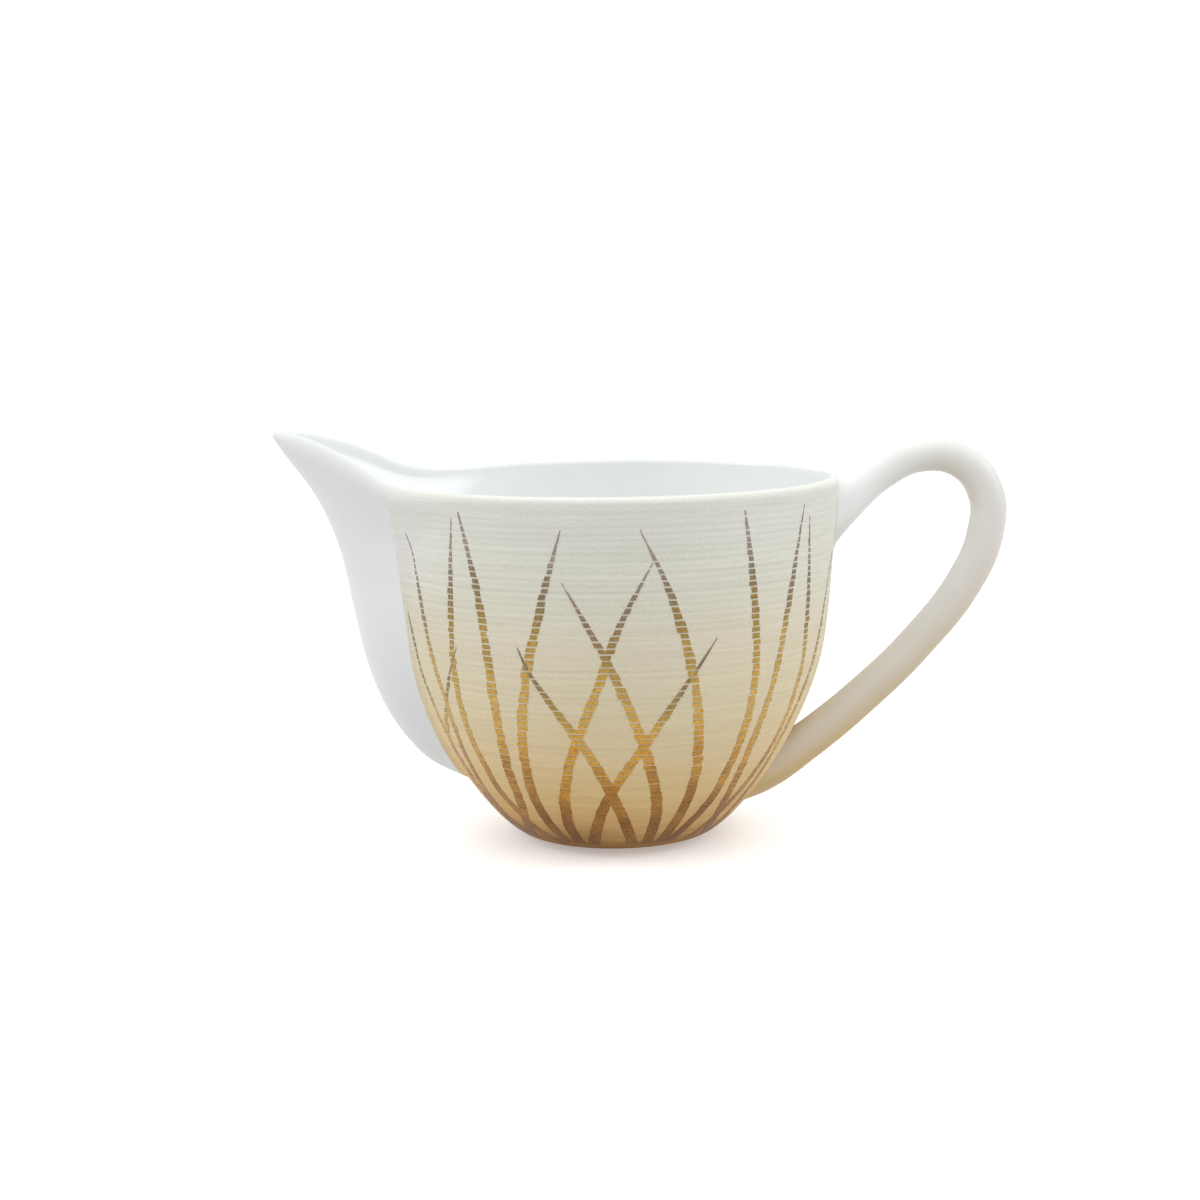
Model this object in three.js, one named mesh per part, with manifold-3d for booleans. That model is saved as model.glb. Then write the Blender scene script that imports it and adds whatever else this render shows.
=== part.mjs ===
// Porcelain cream jug: a turned bowl with a hollow pouring spout and a loop handle luted onto it.
// Millimetres, +Z up. The jug stands on z = 0, the spout points to -X and the handle to +X.
// Each clay piece is made on its own, then joined to the bowl with a thin layer of slip.
import * as THREE from 'three';
import { mergeVertices } from 'three/addons/utils/BufferGeometryUtils.js';
import Module from 'manifold-3d';

// Bowl
const rimRadius = 45;
const rimHeight = 72.5;
const footHeight = 0.9;
const footRadius = 13;
const footInnerRadius = 10.4;
const footEdge = 0.3;
const footTaper = 0.1;
const baseRadius = 18.5;
const bellyRadius = 41.35;
const bellyHeight = 36;
const bowlWall = 2.6;
const floorThickness = 3.2;
const lipRadius = 1.1;
const lipSteps = 4;

// Joints and coatings
const gap = 0.3;
const slipThickness = 0.6;
const glazeThickness = 0.5;
const glazeDrop = 1.6;

// Spout
const spoutWall = 2.6;
const spoutBottom = 11.4;
const spoutTop = 88;
const spoutFloor = 17;
const lipStartX = -37;
const tipHeight = 82.9;
const lipStartRise = 0.5;
const lipEndDrop = 0.8;
const seamBottomAngle = 7;
const seamRimAngle = 34;
const rootFlare = 0.37;
const rootFlarePower = 6;
const rootSpreadPower = 0.45;
const bluntHeight = 20;
const bluntStart = 12;
const bluntFall = 0.16;
const bluntLeast = 3;
const bluntMost = 9;
const bluntShare = 0.8;
const rootReach = 0.55;
const rootWaist = 0.36;
const leastWaist = 1;
const seamOverlap = 14;
const leastReach = 0.5;

// Handle
const handleRadii = [5.6, 3.9, 3.4, 3.6, 3.7, 3.65, 3.75, 4, 4.2];

// Fineness of the faceted surfaces
const aroundBowl = 48;
const alongProfile = 7;
const aroundSpout = 7;
const alongSpout = 20;
const aroundHandle = 16;
const alongHandle = 36;
const alongLip = 12;
const alongNose = 200;

// Cutting bodies reach this far past the jug
const past = 120;
const margin = 2;

const wasm = await Module();
wasm.setup();

// A closed geometry as a solid that can be joined and cut.
function solid(geometry) {
  geometry.deleteAttribute('normal');
  geometry.deleteAttribute('uv');
  const merged = mergeVertices(geometry, 1e-4);
  const mesh = new wasm.Mesh({
    numProp: 3,
    vertProperties: new Float32Array(merged.attributes.position.array),
    triVerts: new Uint32Array(merged.index.array),
  });
  return new wasm.Manifold(mesh);
}

// A solid back as a geometry.
function geometryOf(body) {
  const mesh = body.getMesh();
  const geometry = new THREE.BufferGeometry();
  geometry.setAttribute('position', new THREE.BufferAttribute(mesh.vertProperties, 3));
  geometry.setIndex(new THREE.BufferAttribute(mesh.triVerts, 1));
  geometry.computeVertexNormals();
  return geometry;
}

// A body of revolution about Z from a profile of (radius, height) that starts and ends on the axis.
function turned(profile) {
  const geometry = new THREE.LatheGeometry(profile, aroundBowl);
  geometry.rotateX(Math.PI / 2);
  return solid(geometry);
}

// Skin through a row of closed loops of equal length, with a fan over each end.
function loft(loops) {
  const points = loops.flat();
  const count = loops[0].length;
  const index = [];
  for (let ring = 0; ring + 1 < loops.length; ring++) {
    for (let side = 0; side < count; side++) {
      const next = (side + 1) % count;
      const a = ring * count + side;
      const b = ring * count + next;
      index.push(a, b, b + count, a, b + count, a + count);
    }
  }
  const last = (loops.length - 1) * count;
  for (let side = 1; side + 1 < count; side++) {
    index.push(0, side + 1, side, last, last + side, last + side + 1);
  }
  const geometry = new THREE.BufferGeometry().setFromPoints(points);
  geometry.setIndex(index);
  return solid(geometry);
}

// The bowl's outer line from the foot up to the rim: two smooth arcs that meet at the belly.
const lowerArc = new THREE.CubicBezierCurve(
  new THREE.Vector2(baseRadius, footHeight + gap),
  new THREE.Vector2(22.2, footHeight + gap),
  new THREE.Vector2(36.05, 16.7),
  new THREE.Vector2(bellyRadius, bellyHeight),
);
const upperArc = new THREE.CubicBezierCurve(
  new THREE.Vector2(bellyRadius, bellyHeight),
  new THREE.Vector2(43.2, 42.7),
  new THREE.Vector2(44.2, 60),
  new THREE.Vector2(rimRadius, rimHeight),
);

// Points of the bowl's line moved out from the surface by a distance, or in when it is negative.
function bowlLine(distance) {
  const line = [];
  for (const arc of [lowerArc, upperArc]) {
    for (let step = line.length ? 1 : 0; step <= alongProfile; step++) {
      const t = step / alongProfile;
      const tangent = arc.getTangent(t);
      const point = arc.getPoint(t);
      line.push(new THREE.Vector2(point.x + tangent.y * distance, point.y - tangent.x * distance));
    }
  }
  return line;
}

// A full turned body under the bowl's line, closed over the top at a height.
function bowlBody(distance, bottom, top) {
  const line = bowlLine(distance).filter((point) => point.y > bottom);
  const widest = line[line.length - 1].x;
  const start = [new THREE.Vector2(0, bottom), new THREE.Vector2(line[0].x, bottom)];
  return turned([...start, ...line, new THREE.Vector2(widest, top), new THREE.Vector2(0, top)]);
}

// The bowl's radius at a height.
function bowlRadius(height) {
  if (height >= rimHeight) {
    return rimRadius;
  }
  const line = bowlLine(0);
  const above = Math.max(1, line.findIndex((point) => point.y > height));
  const high = line[above];
  const low = line[above - 1];
  return THREE.MathUtils.mapLinear(height, low.y, high.y, low.x, high.x);
}

// Spout: the line of its nose in the XZ plane, from where it leaves the bowl up past the tip.
const noseLine = new THREE.SplineCurve([
  new THREE.Vector2(-29.6, spoutBottom),
  new THREE.Vector2(-37.3, 15.3),
  new THREE.Vector2(-44.8, 23.7),
  new THREE.Vector2(-50.1, 36.1),
  new THREE.Vector2(-52.8, 48.5),
  new THREE.Vector2(-55.5, 60.7),
  new THREE.Vector2(-59, 68.8),
  new THREE.Vector2(-63.4, 75.3),
  new THREE.Vector2(-67.9, 82),
  new THREE.Vector2(-69.6, spoutTop),
]);

// The spout's lip seen from the side: level with the rim by the bowl, then rising to the tip.
const lipLine = new THREE.CubicBezierCurve(
  new THREE.Vector2(lipStartX, rimHeight),
  new THREE.Vector2(-46, rimHeight + lipStartRise),
  new THREE.Vector2(-54, tipHeight - lipEndDrop),
  new THREE.Vector2(-69, tipHeight),
);

// Half the angle that the spout takes up on the bowl, in degrees, from its bottom to the rim.
function spoutHalfAngle(height) {
  const up = THREE.MathUtils.clamp((height - spoutBottom) / (rimHeight - spoutBottom), 0, 1);
  const spread = seamRimAngle - seamBottomAngle;
  const steady = (1 - rootFlare) * Math.pow(up, rootSpreadPower);
  return seamBottomAngle + spread * (steady + rootFlare * Math.pow(up, rootFlarePower));
}

// One level loop of the spout, pulled in from its outer face by a distance.
function spoutLoop(share, inset) {
  const nose = noseLine.getPoint(share);
  const rise = noseLine.getTangent(share);
  const height = nose.y;
  const angle = THREE.MathUtils.degToRad(spoutHalfAngle(height));
  const radius = bowlRadius(height);
  const seam = new THREE.Vector2(-radius * Math.cos(angle), radius * Math.sin(angle) - inset);
  const front = Math.min(nose.x + inset / Math.abs(rise.y), seam.x - leastReach);
  const reach = seam.x - front;
  const blunt = bluntStart - (height - bluntHeight) * bluntFall;
  const bluntness = THREE.MathUtils.clamp(blunt, bluntLeast, bluntMost) - inset / 2;
  const side = new THREE.CubicBezierCurve(
    new THREE.Vector2(front, 0),
    new THREE.Vector2(front, Math.min(bluntness, seam.y * bluntShare)),
    new THREE.Vector2(seam.x - reach * rootReach, Math.max(seam.y - reach * rootWaist, leastWaist)),
    seam,
  );
  const half = side.getPoints(aroundSpout);
  half.push(new THREE.Vector2(seam.x + seamOverlap, seam.y));
  const mirrored = half.slice(1).reverse().map((point) => new THREE.Vector2(point.x, -point.y));
  return [...mirrored, ...half].map((point) => new THREE.Vector3(point.x, point.y, height));
}

// A spout-shaped solid, from a share of the nose line upwards.
function spoutBody(inset, firstShare) {
  const loops = [];
  for (let step = 0; step <= alongSpout; step++) {
    loops.push(spoutLoop(THREE.MathUtils.lerp(firstShare, 1, step / alongSpout), inset));
  }
  return loft(loops.map((loop) => loop.reverse()));
}

// Everything above the lip, lowered by a distance.
function aboveLip(drop) {
  const outline = new THREE.Shape();
  const start = lipLine.getPoint(0);
  outline.moveTo(past, start.y - drop);
  for (const point of lipLine.getPoints(alongLip)) {
    outline.lineTo(point.x, point.y - drop);
  }
  outline.lineTo(-past, tipHeight - drop);
  outline.lineTo(-past, past);
  outline.lineTo(past, past);
  const geometry = new THREE.ExtrudeGeometry(outline, { depth: 2 * past, bevelEnabled: false });
  geometry.translate(0, 0, -past);
  geometry.rotateX(Math.PI / 2);
  return solid(geometry);
}

// The room for cream: the bowl's inside and the spout's channel, pulled in by a distance.
function cavity(inset) {
  const bottom = footHeight + gap + floorThickness + inset;
  const inside = bowlBody(-bowlWall - inset, bottom, rimHeight + spoutTop - tipHeight + margin);
  const firstShare = spoutShareAt(spoutFloor + inset);
  return inside.add(spoutBody(spoutWall + inset, firstShare));
}

// The share of the nose line at a height.
function spoutShareAt(height) {
  const samples = noseLine.getPoints(alongNose);
  return samples.findIndex((point) => point.y >= height) / alongNose;
}

// Handle: its middle line in the XZ plane, from inside the bowl's wall at the top to the bottom.
const handleLine = new THREE.CatmullRomCurve3([
  new THREE.Vector3(38.5, 0, 60),
  new THREE.Vector3(46, 0, 67.3),
  new THREE.Vector3(53.1, 0, 72.7),
  new THREE.Vector3(61, 0, 76.1),
  new THREE.Vector3(69.5, 0, 75),
  new THREE.Vector3(74.7, 0, 68.6),
  new THREE.Vector3(74.9, 0, 60.4),
  new THREE.Vector3(70.9, 0, 51),
  new THREE.Vector3(61.1, 0, 38.3),
  new THREE.Vector3(50.4, 0, 27.8),
  new THREE.Vector3(38.4, 0, 18),
  new THREE.Vector3(29.5, 0, 12),
  new THREE.Vector3(21, 0, 9),
]);

// The handle's radius along its middle line, from the upper root to the lower one.
const thicknessLine = new THREE.SplineCurve(
  handleRadii.map((radius, place) => new THREE.Vector2(place / (handleRadii.length - 1), radius)),
);

// The handle's round section at a share of its length.
function handleSection(share) {
  const centre = handleLine.getPointAt(share);
  const along = handleLine.getTangentAt(share);
  const across = new THREE.Vector3(along.z, 0, -along.x);
  const radius = thicknessLine.getPoint(share).y;
  const loop = [];
  for (let side = 0; side < aroundHandle; side++) {
    const angle = (side / aroundHandle) * 2 * Math.PI;
    const point = centre.clone().addScaledVector(across, radius * Math.cos(angle));
    loop.push(point.setY(radius * Math.sin(angle)));
  }
  return loop;
}

// The whole handle with both ends still running into the bowl.
function handleBody() {
  const loops = [];
  for (let step = 0; step <= alongHandle; step++) {
    loops.push(handleSection(step / alongHandle));
  }
  return loft(loops);
}

// A low ring of clay under the bowl, slightly wider at the top.
function footRing() {
  const profile = [
    new THREE.Vector2(footInnerRadius, 0),
    new THREE.Vector2(footRadius - footEdge - footTaper, 0),
    new THREE.Vector2(footRadius - footTaper, footEdge),
    new THREE.Vector2(footRadius, footHeight),
    new THREE.Vector2(footInnerRadius, footHeight),
    new THREE.Vector2(footInnerRadius, 0),
  ];
  return turned(profile);
}

// The ring that rounds off the bowl's rim.
function rimTrim() {
  const inner = rimRadius - bowlWall;
  const middle = (inner + rimRadius) / 2;
  const profile = [new THREE.Vector2(middle, rimHeight)];
  for (let step = 1; step <= lipSteps; step++) {
    const angle = (step / lipSteps) * (Math.PI / 2);
    const x = rimRadius - lipRadius + lipRadius * Math.sin(angle);
    const y = rimHeight - lipRadius + lipRadius * Math.cos(angle);
    profile.push(new THREE.Vector2(x, y));
  }
  profile.push(new THREE.Vector2(rimRadius + margin, rimHeight - lipRadius));
  profile.push(new THREE.Vector2(rimRadius + margin, rimHeight + margin));
  profile.push(new THREE.Vector2(middle, rimHeight + margin));
  profile.push(profile[0].clone());
  return turned(profile);
}

const clearance = slipThickness + 2 * gap;
const bowlBottom = footHeight + gap;
const bowlFull = bowlBody(0, bowlBottom, rimHeight);
const pastBowl = bowlBody(clearance, -past, past);
const pastSlip = bowlBody(gap + slipThickness, -past, past);
const pastGap = bowlBody(gap, -past, past);
const slipShell = pastSlip.subtract(pastGap);
const room = cavity(0);
const lip = aboveLip(0);

const spoutFull = spoutBody(0, 0);
const spoutShell = spoutFull.subtract(room).subtract(lip);
const handleFull = handleBody();
const upperBox = new THREE.BoxGeometry(2 * past, 2 * past, past);
const upperHalf = solid(upperBox.translate(0, 0, bellyHeight + past / 2));
const handleSlip = handleFull.intersect(slipShell);

const pieces = {
  bowl: bowlFull.subtract(room).subtract(rimTrim()),
  foot_ring: footRing(),
  spout: spoutShell.subtract(pastBowl),
  spout_slip_seam: spoutShell.intersect(slipShell),
  handle: handleFull.subtract(pastBowl),
  handle_upper_slip_joint: handleSlip.intersect(upperHalf),
  handle_lower_slip_joint: handleSlip.subtract(upperHalf),
  inner_glaze: cavity(gap).subtract(cavity(gap + glazeThickness)).subtract(aboveLip(glazeDrop)),
};

const finishes = {
  bowl: { color: 0xd8cdb4, roughness: 0.85 },
  foot_ring: { color: 0xcbbfa6, roughness: 0.9 },
  spout: { color: 0xe3e5e2, roughness: 0.6 },
  spout_slip_seam: { color: 0xdcdedb, roughness: 0.65 },
  handle: { color: 0xe6e7e3, roughness: 0.6 },
  handle_upper_slip_joint: { color: 0xdedfda, roughness: 0.65 },
  handle_lower_slip_joint: { color: 0xd9d3c4, roughness: 0.65 },
  inner_glaze: { color: 0xf1f3f0, roughness: 0.08 },
};

const jug = new THREE.Group();
for (const [name, body] of Object.entries(pieces)) {
  const material = new THREE.MeshStandardMaterial({ ...finishes[name], metalness: 0 });
  const mesh = new THREE.Mesh(geometryOf(body), material);
  mesh.name = name;
  jug.add(mesh);
}

// The origin is the middle of the jug's footprint box, on the surface that it stands on.
const extent = new THREE.Box3().setFromObject(jug);
jug.position.x = -(extent.min.x + extent.max.x) / 2;

export default jug;
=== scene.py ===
"""Porcelain cream jug: turned bowl, pouring spout and loop handle, with a sand tint and gold grasses.

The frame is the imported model. Shapes are worked out in millimetres about the bowl's own upright axis and
moved onto that axis, in metres, once they are finished.
"""

import logging
import math
import random
from dataclasses import dataclass, field
from enum import Enum
from functools import partial
from typing import Callable, Sequence

import bmesh
import bpy
import numpy as np
from mathutils import Matrix, Vector


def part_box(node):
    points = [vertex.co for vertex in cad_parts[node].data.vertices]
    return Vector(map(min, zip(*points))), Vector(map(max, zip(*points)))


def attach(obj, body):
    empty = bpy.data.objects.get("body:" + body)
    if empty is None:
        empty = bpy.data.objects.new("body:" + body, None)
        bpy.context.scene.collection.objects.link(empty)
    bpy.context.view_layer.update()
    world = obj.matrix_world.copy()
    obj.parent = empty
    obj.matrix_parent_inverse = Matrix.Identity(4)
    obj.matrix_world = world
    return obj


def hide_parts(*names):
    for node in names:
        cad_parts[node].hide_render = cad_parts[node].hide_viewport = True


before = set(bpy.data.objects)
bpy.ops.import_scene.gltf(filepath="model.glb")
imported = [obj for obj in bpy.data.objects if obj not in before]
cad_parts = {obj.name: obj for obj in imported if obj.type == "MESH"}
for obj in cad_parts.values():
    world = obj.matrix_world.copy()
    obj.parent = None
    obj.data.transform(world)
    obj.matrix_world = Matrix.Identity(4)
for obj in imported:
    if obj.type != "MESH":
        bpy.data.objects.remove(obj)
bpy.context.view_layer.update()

LOG = logging.getLogger("cream_jug")
MM = 0.001
BODY = "root"
Array = np.ndarray
Piece = bpy.types.Object
Node = bpy.types.Node
Socket = bpy.types.NodeSocket
Material = bpy.types.Material


# ---------------------------------------------------------------- shared tools


def linear(colour: str) -> tuple[float, float, float, float]:
    """Turns an sRGB hex colour into a linear one.

    Args:
        colour: Six hex digits, such as "f2efe6".

    Returns:
        Red, green, blue and an alpha of one, for a shader's socket.
    """
    channels = []
    for start in (0, 2, 4):
        value = int(colour[start:start + 2], 16) / 255
        channels.append(value / 12.92 if value <= 0.04045 else ((value + 0.055) / 1.055) ** 2.4)
    return (channels[0], channels[1], channels[2], 1.0)


def clear_selection() -> None:
    """Leaves edit mode and deselects every object."""
    if bpy.context.object and bpy.context.object.mode != "OBJECT":
        bpy.ops.object.mode_set(mode="OBJECT")
    bpy.ops.object.select_all(action="DESELECT")


def select_only(piece: Piece) -> None:
    """Selects one piece and makes it the active one."""
    clear_selection()
    piece.select_set(True)
    bpy.context.view_layer.objects.active = piece


class Part(Enum):
    """A kind of mesh element that can be picked out."""

    EDGE = "edges"
    FACE = "faces"


def pick(piece: Piece, part: Part, chosen: Callable[[object], bool]) -> None:
    """Opens a piece in edit mode with only some of its faces or edges selected.

    Args:
        piece: The piece to open.
        part: Whether faces or edges are picked.
        chosen: Says of each one whether it is selected.
    """
    select_only(piece)
    bpy.ops.object.mode_set(mode="EDIT")
    bpy.ops.mesh.select_mode(type=part.name)
    bpy.ops.mesh.select_all(action="DESELECT")
    mesh = bmesh.from_edit_mesh(piece.data)
    for element in getattr(mesh, part.value):
        element.select = chosen(element)
    bmesh.update_edit_mesh(piece.data)


def ease(share: Array) -> Array:
    """Turns an even rise from 0 to 1 into one that starts and ends gently."""
    share = np.clip(share, 0, 1)
    return share * share * (3 - 2 * share)


def to_side(points: Array, far: Array) -> Array:
    """Keeps points on the far (+Y) side where far is true, and puts the others on the near side."""
    one = np.ones(len(points))
    return points * np.stack([one, np.where(far, 1, -1), one], axis=-1)


def apply_modifier(piece: Piece, kind: str, **settings: object) -> None:
    """Adds a modifier to a piece and applies it.

    Args:
        piece: The piece to work on.
        kind: Blender's name for the kind of modifier.
        **settings: The modifier's own settings.
    """
    select_only(piece)
    bpy.ops.object.modifier_add(type=kind)
    modifier = piece.modifiers[-1]
    for name, value in settings.items():
        setattr(modifier, name, value)
    bpy.ops.object.modifier_apply(modifier=modifier.name)


def weld(piece: Piece, distance: float = 0.004) -> None:
    """Merges points that meet and turns every face outwards.

    Args:
        piece: The piece to work on.
        distance: How far apart two points may be and still merge, in millimetres.
    """
    select_only(piece)
    bpy.ops.object.mode_set(mode="EDIT")
    bpy.ops.mesh.select_all(action="SELECT")
    bpy.ops.mesh.remove_doubles(threshold=distance * MM)
    bpy.ops.mesh.normals_make_consistent(inside=False)
    bpy.ops.object.mode_set(mode="OBJECT")


def smooth(piece: Piece, angle: float = 35.0) -> None:
    """Shades a piece smooth, with edges sharper than an angle left crisp.

    Args:
        piece: The piece to shade.
        angle: The angle in degrees.
    """
    select_only(piece)
    bpy.ops.object.shade_smooth_by_angle(angle=math.radians(angle))


def axis_x() -> float:
    """Returns where the bowl's axis stands along X, in metres, from its foot ring."""
    low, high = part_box("foot_ring")
    return (low.x + high.x) / 2


def finish_piece(piece: Piece, material: Material, slot: str, *nodes: str) -> None:
    """Moves a piece onto the bowl's axis, dresses it and ties it to the frame.

    Args:
        piece: The piece, modelled about the world's upright axis.
        material: Its material.
        slot: The record's material slot; not used.
        *nodes: The CAD nodes that it stands for.
    """
    select_only(piece)
    piece.location.x += axis_x()
    bpy.ops.object.transform_apply(location=True, rotation=True, scale=True)
    piece.data.materials.clear()
    piece.data.materials.append(material)
    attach(piece, BODY)
    if nodes:
        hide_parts(*nodes)
    LOG.info("%s: %d faces", piece.name, len(piece.data.polygons))


def sheet_of_clay(
    name: str,
    columns: int,
    rows: int,
    place: Callable[[Array, Array], Array],
    skip: Callable[[int], bool] | None = None,
) -> Piece:
    """Adds a flat grid, cuts rows out of it and wraps it: each point goes where a function puts it.

    Args:
        name: The new piece's name.
        columns: How many faces the grid has across.
        rows: How many faces it has upwards.
        place: Takes each point's column and row as numbers, and gives an N by 3 array in millimetres.
        skip: Says of each row of faces, counted from the bottom, whether it is cut out.

    Returns:
        The wrapped piece.
    """
    clear_selection()
    bpy.ops.mesh.primitive_grid_add(x_subdivisions=columns, y_subdivisions=rows, size=2)
    piece = bpy.context.object
    piece.name = name
    if skip:
        cut_rows(piece, rows, skip)
    points = np.empty(len(piece.data.vertices) * 3)
    piece.data.vertices.foreach_get("co", points)
    points = points.reshape(-1, 3)
    column = np.rint((points[:, 0] + 1) / 2 * columns).astype(int)
    row = np.rint((points[:, 1] + 1) / 2 * rows).astype(int)
    placed = place(column, row) * MM
    piece.data.vertices.foreach_set("co", placed.ravel())
    piece.data.update()
    return piece


def cut_rows(piece: Piece, rows: int, skip: Callable[[int], bool]) -> None:
    """Deletes whole rows of faces from a flat grid two units tall.

    Args:
        piece: The grid.
        rows: How many rows of faces it has.
        skip: Says of each row whether it goes.
    """
    pick(piece, Part.FACE, lambda face: skip(int((face.calc_center_median().y + 1) / 2 * rows)))
    bpy.ops.mesh.delete(type="FACE")
    bpy.ops.object.mode_set(mode="OBJECT")


@dataclass(frozen=True)
class SmoothLine:
    """A smooth line through a few given values, such as a width that changes with height.

    Attributes:
        knots: (place, value) pairs in rising order of place.
    """

    knots: tuple[tuple[float, float], ...]

    def at(self, place: Array | float) -> Array:
        """Gives the line's value at each place, level beyond both ends.

        Args:
            place: One place, or an array of them.

        Returns:
            The values.
        """
        xs, ys = np.array(self.knots, float).T
        slopes = np.gradient(ys, xs)
        where = np.clip(np.asarray(place, float), xs[0], xs[-1])
        span = np.clip(np.searchsorted(xs, where, side="right") - 1, 0, len(xs) - 2)
        width = xs[span + 1] - xs[span]
        t = (where - xs[span]) / width
        return (
            ys[span] * (1 + 2 * t) * (1 - t) ** 2
            + slopes[span] * width * t * (1 - t) ** 2
            + ys[span + 1] * t * t * (3 - 2 * t)
            + slopes[span + 1] * width * t * t * (t - 1)
        )


def bezier(controls: Sequence[Array], t: Array) -> Array:
    """Gives points on a cubic curve.

    Args:
        controls: Four control values, each a number or an array as long as t.
        t: Where on the curve, from 0 to 1.

    Returns:
        The values at t.
    """
    a, b, c, d = controls
    return a * (1 - t) ** 3 + 3 * b * (1 - t) ** 2 * t + 3 * c * (1 - t) * t * t + d * t ** 3


# ------------------------------------------------------------------- the form


@dataclass(frozen=True)
class JugForm:
    """The jug's skin as level outlines: a round bowl whose front runs out into a pouring spout.

    An outline is followed from the spout's nose (0) along its side to where it joins the round (1),
    and on round the bowl to the handle side (2). Lengths are in millimetres.
    """

    rim_height: float = 72.5
    base_height: float = 1.2
    base_radius: float = 18.5
    belly: tuple[float, float] = (41.35, 36.0)
    lower_pull: tuple[tuple[float, float], ...] = ((22.2, 1.2), (36.05, 16.7))
    upper_pull: tuple[tuple[float, float], ...] = ((43.2, 42.7), (44.15, 60.0))
    rim_radius: float = 44.9
    wall: float = 2.4
    clay_share: float = 0.88
    bowl_lip_share: float = 0.86
    spout_lip_share: float = 0.5
    lip_taper: float = 14.0
    lip_round: float = 1.2
    spout_lip_round: float = 3.2
    tip_share: float = 0.3
    front_end: float = 1.15
    front_fade: float = 0.75
    lip_crest: float = 0.72
    spout_bottom: float = 11.4
    nose_fade: float = 6.0
    round_pull: float = 0.36
    inner_sharpening: float = 0.7
    least_blunt: float = 1.1
    lip: SmoothLine = SmoothLine((
        (-69, 82.8), (-63, 81.75), (-57, 79.8), (-51, 77.2), (-46, 74.9), (-41, 73.5), (-35, 72.9),
        (-25, 72.7),
    ))
    nose: SmoothLine = SmoothLine((
        (11.4, 29.6), (15.3, 37.3), (19.5, 41.7), (23.7, 44.8), (30.0, 48.0), (36.1, 50.1), (42.5, 51.6),
        (48.5, 52.8), (54.6, 53.9), (60.7, 55.5), (64.9, 57.1), (68.8, 59.0), (72.2, 61.1), (75.3, 63.4),
        (78.7, 65.9), (82.0, 67.9), (86.0, 69.0),
    ))
    nose_blunt: SmoothLine = SmoothLine(
        ((11.4, 2.0), (18, 6.0), (30, 8.5), (45, 9.0), (58, 7.5), (68, 5.6), (76, 5.0), (83, 5.0))
    )
    root_angle: SmoothLine = SmoothLine((
        (11.4, 3), (13, 11), (18, 15.5), (25, 19), (35, 23), (45, 25.5), (55, 28), (62, 34), (68, 47),
        (72.5, 57), (83, 60),
    ))
    root_pull: SmoothLine = SmoothLine(
        ((11.4, 0.8), (20, 2.5), (45, 4.0), (58, 7.0), (66, 14.0), (72.5, 21.0), (83, 21.0))
    )
    seam_angle: SmoothLine = SmoothLine((
        (11.4, 0.0), (13, 8), (18, 12.5), (25, 16), (35, 20), (45, 22), (58, 22.5), (66, 25), (72.5, 28),
        (83, 28),
    ))

    def side_line(self, inset: float) -> tuple[Array, Array]:
        """Gives the bowl's side as matching heights and radii, moved in by a distance at right angles."""
        t = np.linspace(0, 1, 60)
        arcs = (
            ((self.base_radius, self.base_height), *self.lower_pull, self.belly),
            (self.belly, *self.upper_pull, (self.rim_radius, self.rim_height)),
        )
        radii = np.concatenate([bezier([p[0] for p in arc], t) for arc in arcs])
        heights = np.concatenate([bezier([p[1] for p in arc], t) for arc in arcs])
        keep = np.concatenate([[True], np.diff(heights) > 1e-6])
        radii, heights = radii[keep], heights[keep]
        lean = np.arctan2(np.gradient(radii), np.gradient(heights))
        return heights + inset * np.sin(lean), radii - inset * np.cos(lean)

    def round_radius(self, height: Array, inset: float = 0.0) -> Array:
        """Gives the round bowl's radius at each height, moved in by a distance."""
        heights, radii = self.side_line(inset)
        return np.interp(height, heights, radii)

    def nose_reach(self, height: Array, inset: float = 0.0) -> Array:
        """Gives how far the spout's nose stands from the axis, never less than the bowl itself."""
        step = 0.5
        slope = (self.nose.at(height + step) - self.nose.at(height - step)) / (2 * step)
        reach = self.nose.at(height) - inset * np.sqrt(1 + slope ** 2)
        round_reach = self.round_radius(height, inset) + 0.01
        return np.where(height > self.spout_bottom, np.maximum(reach, round_reach), round_reach)

    def outline(self, way: Array, height: Array, inset: float = 0.0) -> tuple[Array, Array]:
        """Gives points on the level outlines.

        Args:
            way: How far along the half outline, from 0 at the nose to 2 at the handle side.
            height: The height of each point.
            inset: How far in from the outer skin.

        Returns:
            X, and Y counted positive to either side.
        """
        way, height = np.broadcast_arrays(np.asarray(way, float), np.asarray(height, float))
        radius = self.round_radius(height, inset)
        reach = self.nose_reach(height, inset)
        root = np.radians(self.root_angle.at(height))
        spare = np.clip((reach - radius) / self.nose_fade, 0, 1)
        pull = self.root_pull.at(height) * spare
        blunt = np.maximum(self.nose_blunt.at(height) - inset * self.inner_sharpening, self.least_blunt)
        round_front = radius * root * self.round_pull
        blunt = blunt * spare + round_front * (1 - spare)
        pull = np.maximum(pull, round_front * (1 - spare))
        ends_x, ends_y = -radius * np.cos(root), radius * np.sin(root)
        t = np.clip(way, 0, 1)
        x = bezier((-reach, -reach, ends_x - pull * np.sin(root), ends_x), t)
        y = bezier((0, blunt, ends_y - pull * np.cos(root), ends_y), t)
        angle = root + (math.pi - root) * np.clip(way - 1, 0, 1)
        on_round = way > 1
        x = np.where(on_round, -radius * np.cos(angle), x)
        y = np.where(on_round, radius * np.sin(angle), y)
        return x, y

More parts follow.
